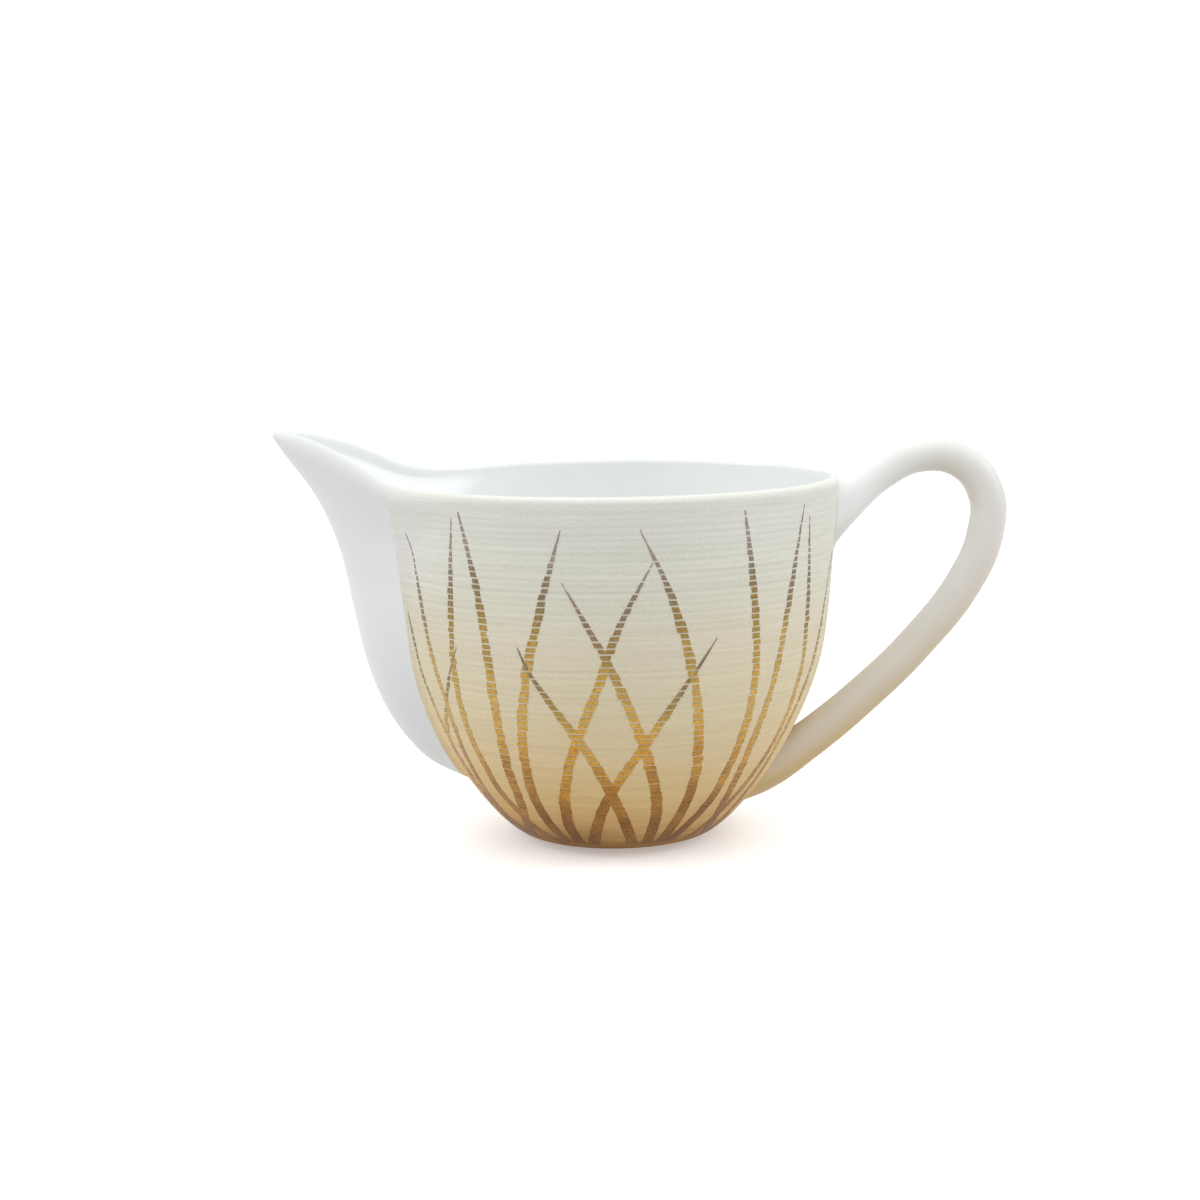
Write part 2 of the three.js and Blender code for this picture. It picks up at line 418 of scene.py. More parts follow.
    def way_at(self, angle: Array, height: Array, inset: float = 0.0) -> Array:
        """Gives how far along the half outline a direction from the axis meets it.

        Args:
            angle: Degrees from the spout's direction, from 0 to 180.
            height: The height of each point.
            inset: How far in from the outer skin.

        Returns:
            The way along the outline, from 0 to 2.
        """
        angle, height = np.broadcast_arrays(np.asarray(angle, float), np.asarray(height, float))
        root = self.root_angle.at(height)
        low, high = np.zeros(angle.shape), np.ones(angle.shape)
        for _ in range(26):
            middle = (low + high) / 2
            x, y = self.outline(middle, height, inset)
            past = np.degrees(np.arctan2(y, -x)) > angle
            high = np.where(past, middle, high)
            low = np.where(past, low, middle)
        return np.where(angle >= root, 1 + (angle - root) / (180 - root), (low + high) / 2)

    def skin_point(self, bearing: Array, height: Array) -> Array:
        """Gives points on the outer skin from a bearing round the bowl.

        Args:
            bearing: Degrees from the spout's direction, -180 to 180, positive towards the near (-Y) side.
            height: The height of each point.

        Returns:
            An N by 3 array.
        """
        bearing = np.asarray(bearing, float)
        x, y = self.outline(self.way_at(np.abs(bearing), height), height)
        return np.stack([x, -y * np.sign(bearing), height + 0 * x], axis=-1)

    def lip_height(self, way: Array) -> Array:
        """Gives the height of the lip's top above each way along the outline."""
        height = np.full(np.shape(way), self.rim_height + 4)
        for _ in range(25):
            x, _ = self.outline(way, height)
            height = height * 0.4 + 0.6 * self.lip.at(x)
        return height

    def frontness(self, way: Array) -> Array:
        """Gives 1 on the spout's lip, falling smoothly to 0 on the round rim."""
        return ease((self.front_end - way) / self.front_fade)

    def lip_depth(self, way: Array) -> Array:
        """Gives how far below its top the lip's rounding begins: far on the spout, but not at its tip."""
        extra = self.frontness(way) * ease(way / self.tip_share)
        return self.lip_round + (self.spout_lip_round - self.lip_round) * extra

    def seam_way(self, height: Array) -> Array:
        """Gives the way along the outline where the spout's clay meets the bowl's."""
        return self.way_at(self.seam_angle.at(height), height)

    def wall_point(self, way: Array, height: Array, depth: Array) -> tuple[Array, Array]:
        """Gives points inside the wall.

        Args:
            way: How far along the half outline.
            height: The height of each point.
            depth: 0 on the outer skin, 1 on the inner face of the full wall.

        Returns:
            X, and Y counted positive to either side.
        """
        outer_x, outer_y = self.outline(way, height)
        inner_x, inner_y = self.outline(way, height, self.wall)
        return outer_x + (inner_x - outer_x) * depth, outer_y + (inner_y - outer_y) * depth

    def wall_share(self, way: Array, below_lip: Array) -> Array:
        """Gives the wall's thickness, as a share of the full wall, which thins towards the lip.

        Args:
            way: How far along the half outline.
            below_lip: How far below the lip's top.

        Returns:
            The share, from about a half at the spout's lip to 1 low down.
        """
        lip = self.bowl_lip_share + (self.spout_lip_share - self.bowl_lip_share) * self.frontness(way)
        return lip + (1 - lip) * ease(below_lip / self.lip_taper)

    def lip_roll(self, way: Array, turn: Array, reach: float = 1.0) -> Array:
        """Gives points over the rounded lip.

        Args:
            way: How far along the half outline.
            turn: In radians, 0 where the lip leaves the outer skin and a half turn at the inner face.
            reach: How deep the inner face lies, as a share of the wall there.

        Returns:
            N by 3 points, with Y counted positive to either side.
        """
        rise = self.lip_depth(way)
        edge = self.lip_height(way) - rise
        share = self.wall_share(way, rise) * reach
        outer = self.lip_crest * (1 - np.cos(turn))
        inner = self.lip_crest - (1 - self.lip_crest) * np.cos(turn)
        depth = np.where(turn < math.pi / 2, outer, inner)
        x, y = self.wall_point(way, edge, share * depth)
        return np.stack([x, y, edge + rise * np.sin(turn)], axis=-1)


FORM = JugForm()


# ------------------------------------------------------------------ materials


def add_node(
    tree: bpy.types.NodeTree, kind: str, links: dict | None = None,
    stops: Sequence[tuple[float, str]] = (), **settings: object,
) -> Node:
    """Adds a shader node with its settings, socket values and links.

    Args:
        tree: The node tree.
        kind: The node's type, without the "ShaderNode" that every type starts with.
        links: Input name or number to a plain value, an output socket, or a node for its first output.
        stops: A colour ramp's (place, sRGB hex) stops, in rising order.
        **settings: The node's own properties.

    Returns:
        The new node.
    """
    node = tree.nodes.new("ShaderNode" + kind)
    for name, value in settings.items():
        setattr(node, name, value)
    for name, value in (links or {}).items():
        source = value.outputs[0] if isinstance(value, Node) else value
        if isinstance(source, Socket):
            tree.links.new(source, node.inputs[name])
        else:
            node.inputs[name].default_value = source
    for number, (place, colour) in enumerate(stops):
        elements = node.color_ramp.elements
        element = elements[number] if number < 2 else elements.new(place)
        element.position = place
        element.color = linear(colour)
    return node


def new_material(name: str) -> tuple[Material, Callable[..., Node]]:
    """Makes an empty node material, and the function that adds a node to it."""
    material = bpy.data.materials.new(name)
    material.use_nodes = True
    material.node_tree.nodes.clear()
    return material, partial(add_node, material.node_tree)


def object_place(add: Callable[..., Node]) -> tuple[Node, Socket, Socket]:
    """Gives a point's place about the bowl's axis, its X and its height, all in millimetres."""
    source = add("TexCoord").outputs["Object"]
    place = add("Mapping", {"Vector": source, "Location": (-axis_x() / MM, 0, 0), "Scale": (1 / MM,) * 3})
    split = add("SeparateXYZ", {"Vector": place})
    return place, split.outputs["X"], split.outputs["Z"]


@dataclass(frozen=True)
class BiscuitPorcelain:
    """Unglazed porcelain, turned in fine ribs and sprayed with a sand-coloured oxide.

    The spray was thickest at the foot, so the tint fades from ochre to off-white, and it was wiped off by
    the spout. Near the foot the tint is also darkened with painted shade, for the shade under the belly.
    The bare surface is matt. Its fine grit shows as a slight sandpaper grain, and the turning tool left it
    finely scored all round.

    Attributes:
        tints_and_foot_shade: The spray's colour from the foot to the rim, darkened near the foot with
            painted shade.
        wiped: The colour where the spray was wiped off.
        grit_mm: The size of the grit's grain.
        streak_mm: The height of a streak in the spray.
        drag_mm: The spacing of the scored lines, drawn coarser than they are so that they show.
        drag_share: How deep the scored lines are beside the grit.
        cloud_shift: How far, in millimetres, soft clouds move the tint up or down.
        streak_shift: How far streaks do.
    """

    # The lowest stops are darker than the spray alone: painted shade under the belly.
    tints_and_foot_shade: tuple[tuple[float, str], ...] = (
        (0.00, "6c4416"), (0.05, "9e743a"), (0.11, "d0a66b"), (0.19, "e1c186"), (0.31, "e5cda0"),
        (0.46, "e3d6b3"), (0.62, "dfd6be"), (0.76, "dedccb"), (1.00, "e0e1d8"),
    )
    wiped: str = "e7e6df"
    grit_mm: float = 0.35
    streak_mm: float = 1.2
    drag_mm: float = 0.45
    drag_share: float = 1.6
    cloud_shift: float = 7.0
    streak_shift: float = 5.0
    roughness: float = 0.78

    def make(self) -> Material:
        """Builds the material."""
        material, add = new_material("biscuit_porcelain_sprayed_sand")
        place, along, height = object_place(add)
        drawn = add("Mapping", {"Vector": place, "Scale": (0.04, 0.04, 1 / self.streak_mm)})
        streaks = add("TexNoise", {"Vector": drawn, "Scale": 1.0, "Detail": 3.0})
        clouds = add("TexNoise", {"Vector": place, "Scale": 0.035, "Detail": 2.0})
        shifted = add("Math", {0: clouds, 1: self.cloud_shift, 2: height}, operation="MULTIPLY_ADD")
        shifted = add("Math", {0: streaks, 1: self.streak_shift, 2: shifted}, operation="MULTIPLY_ADD")
        level = add("MapRange", {0: shifted, 1: 6.0, 2: 78.5, 3: 0.0, 4: 1.0})
        # Spray tint by height, with painted shade darkening it near the foot.
        tint = add("ValToRGB", {"Fac": level}, self.tints_and_foot_shade)
        near = add("MapRange", {0: along, 1: -28.0, 2: -42.0}, interpolation_type="SMOOTHSTEP")
        high = add("MapRange", {0: height, 1: 48.0, 2: 64.0}, interpolation_type="SMOOTHSTEP")
        bare = add("Math", {0: near, 1: high}, operation="MULTIPLY")
        body = add("Mix", {0: bare, 6: tint, 7: linear(self.wiped)}, data_type="RGBA").outputs[2]
        grit = add("TexNoise", {
            "Vector": place, "Scale": 1 / self.grit_mm, "Detail": 2.0, "Roughness": 0.6,
        })
        speckle = add("MapRange", {0: grit, 1: 0.3, 2: 0.7, 3: 0.93, 4: 1.05})
        banding = add("MapRange", {0: streaks, 1: 0.3, 2: 0.7, 3: 0.965, 4: 1.035})
        shade = add("Math", {0: speckle, 1: banding}, operation="MULTIPLY")
        colour = add("VectorMath", {0: body, 3: shade}, operation="SCALE")
        drag = add("Mapping", {"Vector": place, "Scale": (0.05, 0.05, 1 / self.drag_mm)})
        scored = add("TexNoise", {"Vector": drag, "Scale": 1.0, "Detail": 2.0})
        relief = add("Math", {0: scored, 1: self.drag_share, 2: grit}, operation="MULTIPLY_ADD")
        bump = add("Bump", {"Height": relief, "Strength": 0.35, "Distance": 0.00012})
        surface = add("BsdfPrincipled", {
            "Base Color": colour, "Normal": bump, "Roughness": self.roughness, "IOR": 1.5,
            "Specular IOR Level": 0.35,
        })
        add("OutputMaterial", {"Surface": surface})
        return material


@dataclass(frozen=True)
class SatinPorcelain:
    """Smooth porcelain under a thin satin glaze: soft white, with a broad faint sheen.

    Attributes:
        name: The material's name.
        white: Its colour.
        sand_and_bounce_tint: How strongly a sand tint is laid on it low down, from 0 to 1: partly drifted
            sand spray, partly painted warm bounce light from below.
        all_round: How much of that tint lies on every side, besides the underside.
        sand_and_bounce_colour: The colour of that tint.
        painted_highlight_white: A lighter white on the handle's upper arm near its root, a painted
            highlight for light from above.
        grain_mm: The size of the glaze's faint unevenness.
    """

    name: str = "satin_porcelain"
    white: str = "e0e2e1"
    sand_and_bounce_tint: float = 0.0
    all_round: float = 0.35
    sand_and_bounce_colour: str = "cdb17a"
    painted_highlight_white: str = "f3f4f1"
    roughness: float = 0.42
    grain_mm: float = 0.6

    def make(self) -> Material:
        """Builds the material."""
        material, add = new_material(self.name)
        place, along, height = object_place(add)
        cloud = add("TexNoise", {"Vector": place, "Scale": 0.05, "Detail": 2.0})
        body = add("ValToRGB", {"Fac": cloud}, ((0.3, self.white), (0.7, "e5e6e4")))
        # Sand tint with painted warm bounce light from below, and a painted highlight on the upper arm.
        if self.sand_and_bounce_tint:
            body = self.sand_bounce_and_highlight(add, body, along, height)
        grain = add("TexNoise", {"Vector": place, "Scale": 1 / self.grain_mm, "Detail": 3.0})
        bump = add("Bump", {"Height": grain, "Strength": 0.18, "Distance": 0.0001})
        sheen = add("MapRange", {0: grain, 3: self.roughness - 0.06, 4: self.roughness + 0.08})
        surface = add("BsdfPrincipled", {
            "Base Color": body, "Normal": bump, "Roughness": sheen, "IOR": 1.5,
        })
        add("OutputMaterial", {"Surface": surface})
        return material

    def sand_bounce_and_highlight(self, add: Callable[..., Node], body: Node, along: Socket, height: Socket) -> Socket:
        """Lays a sand tint, with painted warm bounce light on downward-facing skin, and a painted highlight
        over the body's colour.

        Args:
            add: Adds a node to the material.
            body: The body's colour.
            along: A point's X in millimetres.
            height: A point's height in millimetres.

        Returns:
            The colour.
        """
        # Painted bounce light: a sand tint, strongest on downward-facing skin and low down, partly real
        # drifted spray.
        normal = add("NewGeometry").outputs["Normal"]
        facing = add("SeparateXYZ", {"Vector": normal}).outputs["Z"]
        under = add("MapRange", {0: facing, 1: 0.35, 2: -0.85, 3: 0.0, 4: 1.0})
        low = add("MapRange", {0: height, 1: 62.0, 2: 8.0, 3: 0.3, 4: 1.2})
        spread = add("Math", {0: under, 1: 0.8, 2: self.all_round}, operation="MULTIPLY_ADD")
        share = add("Math", {0: spread, 1: low}, operation="MULTIPLY")
        amount = add("Math", {0: share, 1: self.sand_and_bounce_tint}, operation="MULTIPLY")
        sand_and_bounce = add("Mix", {0: amount, 6: body, 7: linear(self.sand_and_bounce_colour)}, data_type="RGBA").outputs[2]
        # Painted highlight: a lighter white on the handle's upper arm, inboard and high up.
        inboard = add("MapRange", {0: along, 1: 66.0, 2: 50.0})
        upper = add("MapRange", {0: height, 1: 58.0, 2: 66.0})
        painted_highlight_mask = add("Math", {0: inboard, 1: upper}, operation="MULTIPLY")
        return add("Mix", {0: painted_highlight_mask, 6: sand_and_bounce, 7: linear(self.painted_highlight_white)}, data_type="RGBA").outputs[2]


@dataclass(frozen=True)
class ClearGlaze:
    """Transparent feldspar glaze over white porcelain: a wet gloss, cool white, slightly wavy."""

    white: str = "e5e9e7"
    roughness: float = 0.2

    def make(self) -> Material:
        """Builds the material."""
        material, add = new_material("clear_glaze_on_porcelain")
        place, _, _ = object_place(add)
        waves = add("TexNoise", {"Vector": place, "Scale": 0.12, "Detail": 1.0})
        colour = add("ValToRGB", {"Fac": waves}, ((0.3, self.white), (0.7, "e9ebe8")))
        bump = add("Bump", {"Height": waves, "Strength": 0.25, "Distance": 0.0006})
        surface = add("BsdfPrincipled", {
            "Base Color": colour, "Normal": bump, "Roughness": self.roughness, "IOR": 1.52,
        })
        add("OutputMaterial", {"Surface": surface})
        return material


@dataclass(frozen=True)
class GoldLustre:
    """Painted gold lustre, fired on: brown over the heavy spray, bright, then a purplish brown film.

    Attributes:
        tones: The film's colour from the foot up, and on to where it was brushed out thin.
        patch_shift: How far, in millimetres, uneven patches move the tone up.
        thin_shift: How far brushing the gold out thin does.
    """

    tones: tuple[tuple[float, str], ...] = (
        (0.08, "6f4a20"), (0.18, "8a5e28"), (0.25, "9c7030"), (0.31, "b08435"), (0.39, "af8c45"),
        (0.47, "a9873f"), (0.55, "93793f"), (0.63, "866e3c"), (0.80, "776552"), (1.00, "8b7d76"),
    )
    patch_shift: float = 34.0
    thin_shift: float = 38.0

    def make(self) -> Material:
        """Builds the material."""
        material, add = new_material("gold_lustre_film")
        place, _, height = object_place(add)
        patches = add("TexNoise", {"Vector": place, "Scale": 0.16, "Detail": 2.0})
        fine = add("TexNoise", {"Vector": place, "Scale": 2.4, "Detail": 2.0})
        thin = add("Attribute", attribute_name="thinness").outputs["Fac"]
        shifted = add("Math", {0: patches, 1: self.patch_shift, 2: height}, operation="MULTIPLY_ADD")
        level = add("Math", {0: thin, 1: self.thin_shift, 2: shifted}, operation="MULTIPLY_ADD")
        share = add("MapRange", {0: level, 1: 8.0, 2: 112.0})
        tone = add("ValToRGB", {"Fac": share}, self.tones)
        # Painted glints: fine noise lightens and darkens the gold's colour in small spots.
        glint = add("MapRange", {0: fine, 1: 0.3, 2: 0.7, 3: 0.72, 4: 1.3})
        colour = add("VectorMath", {0: tone, 3: glint}, operation="SCALE")
        surface = add("BsdfPrincipled", {"Base Color": colour, "Metallic": 0.75, "Roughness": 0.42})
        add("OutputMaterial", {"Surface": surface})
        return material


@dataclass(frozen=True)
class GroundFoot:
    """Bare porcelain, ground flat after firing: dry, slightly grey and finely scratched."""

    grit_mm: float = 0.4
    roughness: float = 0.85

    def make(self) -> Material:
        """Builds the material."""
        material, add = new_material("bare_porcelain_ground")
        place, _, _ = object_place(add)
        grit = add("TexNoise", {"Vector": place, "Scale": 1 / self.grit_mm, "Detail": 3.0})
        colour = add("ValToRGB", {"Fac": grit}, ((0.3, "c9bda6"), (0.7, "dcd3c2")))
        bump = add("Bump", {"Height": grit, "Strength": 0.3, "Distance": 0.0001})
        surface = add("BsdfPrincipled", {
            "Base Color": colour, "Normal": bump, "Roughness": self.roughness, "IOR": 1.5,
        })
        add("OutputMaterial", {"Surface": surface})
        return material


# ------------------------------------------------------------ the clay pieces


# How far the rows of points on the flat of the floor stand from its middle, as a share of its radius.
FLOOR_SHARES = (0.0, 0.35, 0.6, 0.8)

# Joins only the points of the wall's filled ends, in millimetres.
FINE_WELD = 0.0005


def section_rows(outer: int, lip: int, inner: int) -> int:
    """Gives how many rows of faces a whole clay section has, from the floor's underside to its top."""
    return len(FLOOR_SHARES) + outer + lip + inner + len(FLOOR_SHARES) - 1


def clay_section(
    form: JugForm, way_of: Callable[[Array], Array], outer_level: Array, row: Array,
    outer: int, lip: int, inner: int,
) -> Array:
    """Wraps rows of points round a clay wall: up the outside, over the lip, down the inside and in.

    Args:
        form: The jug's form.
        way_of: Gives each point's way along the half outline at a height.
        outer_level: The height of each point while it is on the outside.
        row: Each point's row.
        outer: How many rows lie on the outside.
        lip: How many rows of faces cross the lip.
        inner: How many rows of faces run down the inside.

    Returns:
        N by 3 points, with Y counted positive to either side.
    """
    pole = len(FLOOR_SHARES)
    top_way = way_of(np.full(len(row), form.rim_height))
    shares = np.array(FLOOR_SHARES)
    under = shares[np.clip(row, 0, pole - 1)]
    outer_way = way_of(outer_level)
    x, y = form.outline(outer_way, outer_level)
    outside = np.stack([x, y, outer_level], axis=-1)
    flat = np.stack([x * under, y * under, outer_level], axis=-1)

    over = np.clip((row - pole - outer + 1) / lip, 0, 1)
    crest = form.lip_roll(top_way, over * math.pi, form.clay_share)

    down = np.clip((row - pole - outer + 1 - lip) / inner, 0, 1)
    floor = form.base_height + form.wall * form.clay_share
    rise = form.lip_depth(top_way)
    edge = form.lip_height(top_way) - rise
    inner_level = edge + (floor - edge) * down
    inner_way = way_of(inner_level)
    depth = form.wall_share(inner_way, edge + rise - inner_level) * form.clay_share
    x, y = form.wall_point(inner_way, inner_level, depth)
    inside = np.stack([x, y, inner_level], axis=-1)
    last = row - (pole + outer + lip + inner - 1)
    inward = shares[::-1][np.clip(last - 1, 0, pole - 1)]
    top_flat = np.stack([x * inward, y * inward, inner_level], axis=-1)

    points = np.where((row < pole)[:, None], flat, outside)
    points = np.where((over > 0)[:, None], crest, points)
    points = np.where((down > 0)[:, None], inside, points)
    return np.where((last > 0)[:, None], top_flat, points)


def close_wall(piece: Piece) -> None:
    """Merges a wrapped section where its edges meet, then fills the wall's cut ends on either side."""
    weld(piece)
    for side in (-1, 1):
        pick(piece, Part.EDGE, lambda edge: edge.is_boundary and sum(v.co.y for v in edge.verts) * side > 0)
        bpy.ops.mesh.edge_face_add()
        bpy.ops.mesh.quads_convert_to_tris(ngon_method="CLIP")
        bpy.ops.object.mode_set(mode="OBJECT")
    weld(piece, FINE_WELD)


@dataclass
class Bowl:
    """The turned bowl, open at the front for the spout, with fine ribs cut round its outside.

    The tool's grooves are spaced along the bowl's side rather than by height, so they crowd together, seen
    from the side, where the bowl curves in to its foot.
    """

    form: JugForm
    rib_pitch: float = 1.22
    first_groove: float = 2.2
    last_groove_below_rim: float = 1.9
    groove_half: float = 0.3
    groove_depth: float = 0.09
    shoulder: float = 0.4
    press: tuple[float, float] = (0.45, 1.4)
    unevenness: tuple[float, float] = (0.88, 1.12)
    foot_rows: tuple[float, ...] = (0.0, 0.5, 1.2)
    wiped_above: float = 56.0
    wiped_bearing: float = 27.0
    wiped_lean: float = 0.35
    wiped_fade: float = 12.0
    wiped_height: float = 20.0
    chatter: float = 0.15
    low_press: float = 0.3
    low_fade: float = 14.0
    climb_from: float = 60.0
    skin_depth: float = 0.4
    lip_rows: int = 8
    inner_rows: int = 30
    front_columns: int = 8
    side_columns: int = 76
    seed: int = 7
    grooves: list[float] = field(default_factory=list, init=False)
    firmness: list[float] = field(default_factory=list, init=False)
    rows: list[float] = field(default_factory=list, init=False)
    heights: Array = field(init=False)
    travel: Array = field(init=False)

    def __post_init__(self) -> None:
        """Spaces the grooves a little unevenly, as a hand-held tool does, and the mesh rows with them."""
        heights, radii = self.form.side_line(0)
        travel = np.concatenate([[0], np.cumsum(np.hypot(np.diff(heights), np.diff(radii)))])
        self.heights, self.travel = heights, travel
        chance = random.Random(self.seed)
        place = self.first_groove
        while place < travel[-1] - self.last_groove_below_rim:
            self.grooves.append(place)
            self.firmness.append(chance.uniform(*self.press))
            place += self.rib_pitch * chance.uniform(*self.unevenness)
        marks = list(self.foot_rows)
        for below, above in zip(self.grooves, self.grooves[1:] + [travel[-1]]):
            marks += [below - self.groove_half, below, below + self.groove_half, (below + above) / 2]
        marks[-1] = travel[-1] - self.form.lip_round
        self.rows = [float(self.height_at(mark)) for mark in marks]

    def height_at(self, travel: Array | float) -> Array:
        """Gives the height of a point that lies a distance up the bowl's side."""
        return np.interp(travel, self.travel, self.heights)

    def travel_at(self, height: Array) -> Array:
        """Gives how far up the bowl's side a height lies."""
        return np.interp(height, self.heights, self.travel)

    def place(self, column: Array, row: Array) -> Array:
        """Wraps the flat grid round the bowl: up the outside, over the lip and down the inside."""
        half = self.front_columns + self.side_columns
        from_seam = half - np.abs(column - half)
        front = np.clip(from_seam / self.front_columns, 0, 1)
        side = np.clip((from_seam - self.front_columns) / self.side_columns, 0, 1)

        def way_of(level: Array) -> Array:
            """Gives each point's way along the outline, from the seam to the handle side."""
            seam = self.form.seam_way(level)
            return seam + (1 - seam) * front + side

        level = np.array(self.rows)[np.clip(row - len(FLOOR_SHARES), 0, len(self.rows) - 1)]
        outer_level = self.stretch(level, way_of(level))
        counts = (len(self.rows), self.lip_rows, self.inner_rows)
        points = clay_section(self.form, way_of, outer_level, row, *counts)
        return to_side(points, column > half)

    def stretch(self, level: Array, way: Array) -> Array:
        """Raises the top rows so that they follow the lip where it climbs to the spout."""
        top = self.form.lip_height(way) - self.form.lip_depth(way)
        nominal = self.rows[-1]
        share = np.clip((level - self.climb_from) / (nominal - self.climb_from), 0, 1)
        return level + share * (top - nominal)

    def groove_at(self, bearing: Array, height: Array) -> Array:
        """Gives how deep the tool cut at each bearing and height, in millimetres.

        The tool chattered a little, and high up its marks were wiped away beside the spout.
        """
        travel = self.travel_at(height)
        grooves = np.array(self.grooves)
        nearest = np.argmin(np.abs(travel[:, None] - grooves[None, :]), axis=1)
        away = np.abs(travel - grooves[nearest])
        cut = np.interp(away, [0, self.groove_half, 2 * self.groove_half], [1, self.shoulder, 0])
        firmness = np.array(self.firmness)[nearest]
        turn = np.radians(bearing)
        waves = np.sin(2 * turn + nearest * 1.7) * np.sin(9 * turn - nearest * 2.3)
        chatter = 1 - self.chatter + self.chatter * waves
        above = height - self.wiped_above
        edge = self.wiped_bearing + np.clip(above, 0, self.wiped_height) * self.wiped_lean
        kept = np.where(above > 0, np.clip((np.abs(bearing) - edge) / self.wiped_fade, 0, 1), 1)
        low = np.clip((height - 1) / self.low_fade, self.low_press, 1)
        return self.groove_depth * cut * firmness * chatter * kept * low

    def cut_grooves(self, piece: Piece) -> None:
        """Presses the grooves into the outer skin."""
        points = np.empty(len(piece.data.vertices) * 3)
        piece.data.vertices.foreach_get("co", points)
        points = points.reshape(-1, 3) / MM
        reach = np.hypot(points[:, 0], points[:, 1])
        outer = reach > self.form.round_radius(points[:, 2]) - self.skin_depth
        outer &= points[:, 2] > self.form.base_height + 0.2
        bearing = np.degrees(np.arctan2(points[:, 1], -points[:, 0]))
        depth = np.where(outer, self.groove_at(bearing, points[:, 2]), 0)
        scale = 1 - depth / np.maximum(reach, 1)
        points[:, 0] *= scale
        points[:, 1] *= scale
        piece.data.vertices.foreach_set("co", (points * MM).ravel())
        piece.data.update()

    def build(self) -> Piece:
        """Makes the ribbed wall with its floor."""
        columns = 2 * (self.front_columns + self.side_columns)
        rows = section_rows(len(self.rows), self.lip_rows, self.inner_rows)
        piece = sheet_of_clay("bowl_wall", columns, rows, self.place)
        close_wall(piece)
        self.cut_grooves(piece)
        smooth(piece, 50)
        return piece


@dataclass
class Spout:
    """The hollow pouring spout, luted onto the bowl's front and wiped smooth."""

    form: JugForm
    crowding: float = 1.25
    half_columns: int = 30
    outer_rows: int = 90
    lip_rows: int = 8
    inner_rows: int = 60

    def place(self, column: Array, row: Array) -> Array:
        """Wraps the flat grid from one seam over the nose to the other seam."""
        across = (column - self.half_columns) / self.half_columns

        def way_of(level: Array) -> Array:
            """Gives each point's way along the outline, from the nose to the seam."""
            return np.abs(across) * self.form.seam_way(level)

        bottom = self.form.spout_bottom
        share = np.clip((row - len(FLOOR_SHARES)) / (self.outer_rows - 1), 0, 1) ** self.crowding
        top_way = way_of(np.full(len(row), self.form.rim_height))
        edge = self.form.lip_height(top_way) - self.form.lip_depth(top_way)
        level = bottom + (edge - bottom) * share
        counts = (self.outer_rows, self.lip_rows, self.inner_rows)
        points = clay_section(self.form, way_of, level, row, *counts)
        return to_side(points, across > 0)

    def build(self) -> Piece:
        """Makes the spout's wall."""
        rows = section_rows(self.outer_rows, self.lip_rows, self.inner_rows)
        poles = len(FLOOR_SHARES)

        def past_the_wall(row: int) -> bool:
            """Says whether a row of faces belongs to the floor, which the spout has none of."""
            return row < poles or row >= rows - poles

        piece = sheet_of_clay("spout_wall", 2 * self.half_columns, rows, self.place, past_the_wall)
        close_wall(piece)
        smooth(piece, 50)
        return piece


@dataclass
class GlazeLining:
    """The glossy coat inside the bowl and the spout, which ends in a fine line on the lip's crest."""

    form: JugForm
    coat: float = 0.22
    lift: float = 0.03
    line_turn: float = 1.35
    floor_gap: float = 0.02
    crowding: float = 1.7
    front_columns: int = 40
    side_columns: int = 56
    wall_rows: int = 60
    lip_rows: int = 8
    centre: tuple[float, ...] = (0.0, 0.4, 0.7, 0.88)

    def place(self, column: Array, row: Array) -> Array:
        """Wraps the flat grid round the inside, from the middle of the floor up to the lip's crest."""
        half = self.front_columns + self.side_columns
        across = np.abs(column - half)
        way = np.where(across < self.front_columns, across / self.front_columns,
                       1 + (across - self.front_columns) / self.side_columns)
        floor = self.form.base_height + self.form.wall + self.floor_gap
        top = self.form.lip_height(way)
        edge = top - self.form.lip_depth(way)
        flat = len(self.centre)
        share = np.clip((row - flat) / self.wall_rows, 0, 1)
        level = floor + (edge - floor) * share ** self.crowding
        shrink = np.array(list(self.centre) + [1.0] * (self.wall_rows + self.lip_rows + 1))[row]
        x, y = self.form.wall_point(way, level, self.form.wall_share(way, top - level))
        inside = np.stack([x * shrink, y * shrink, level], axis=-1)
        over = np.clip((row - flat - self.wall_rows) / self.lip_rows, 0, 1)
        turn = math.pi - over * (math.pi - self.line_turn)
        roll = self.form.lip_roll(way, turn)
        roll[:, 2] += self.lift * np.sin(turn)
        points = np.where((row > flat + self.wall_rows)[:, None], roll, inside)
        return to_side(points, column > half)

    def build(self) -> Piece:
        """Makes the coat."""
        columns = 2 * (self.front_columns + self.side_columns)
        rows = len(self.centre) + self.wall_rows + self.lip_rows
        piece = sheet_of_clay("glaze_lining", columns, rows, self.place)
        weld(piece)
        self.face_the_room(piece)
        apply_modifier(piece, "SOLIDIFY", thickness=self.coat * MM, offset=-1.0, use_rim=True)
        smooth(piece, 60)
        return piece

    def face_the_room(self, piece: Piece) -> None:
        """Turns the open coat so that its faces look into the bowl."""
        lowest = min(piece.data.polygons, key=lambda face: face.center.z)
        if lowest.normal.z > 0:
            return
        select_only(piece)
        bpy.ops.object.mode_set(mode="EDIT")
        bpy.ops.mesh.select_all(action="SELECT")
        bpy.ops.mesh.flip_normals()
        bpy.ops.object.mode_set(mode="OBJECT")


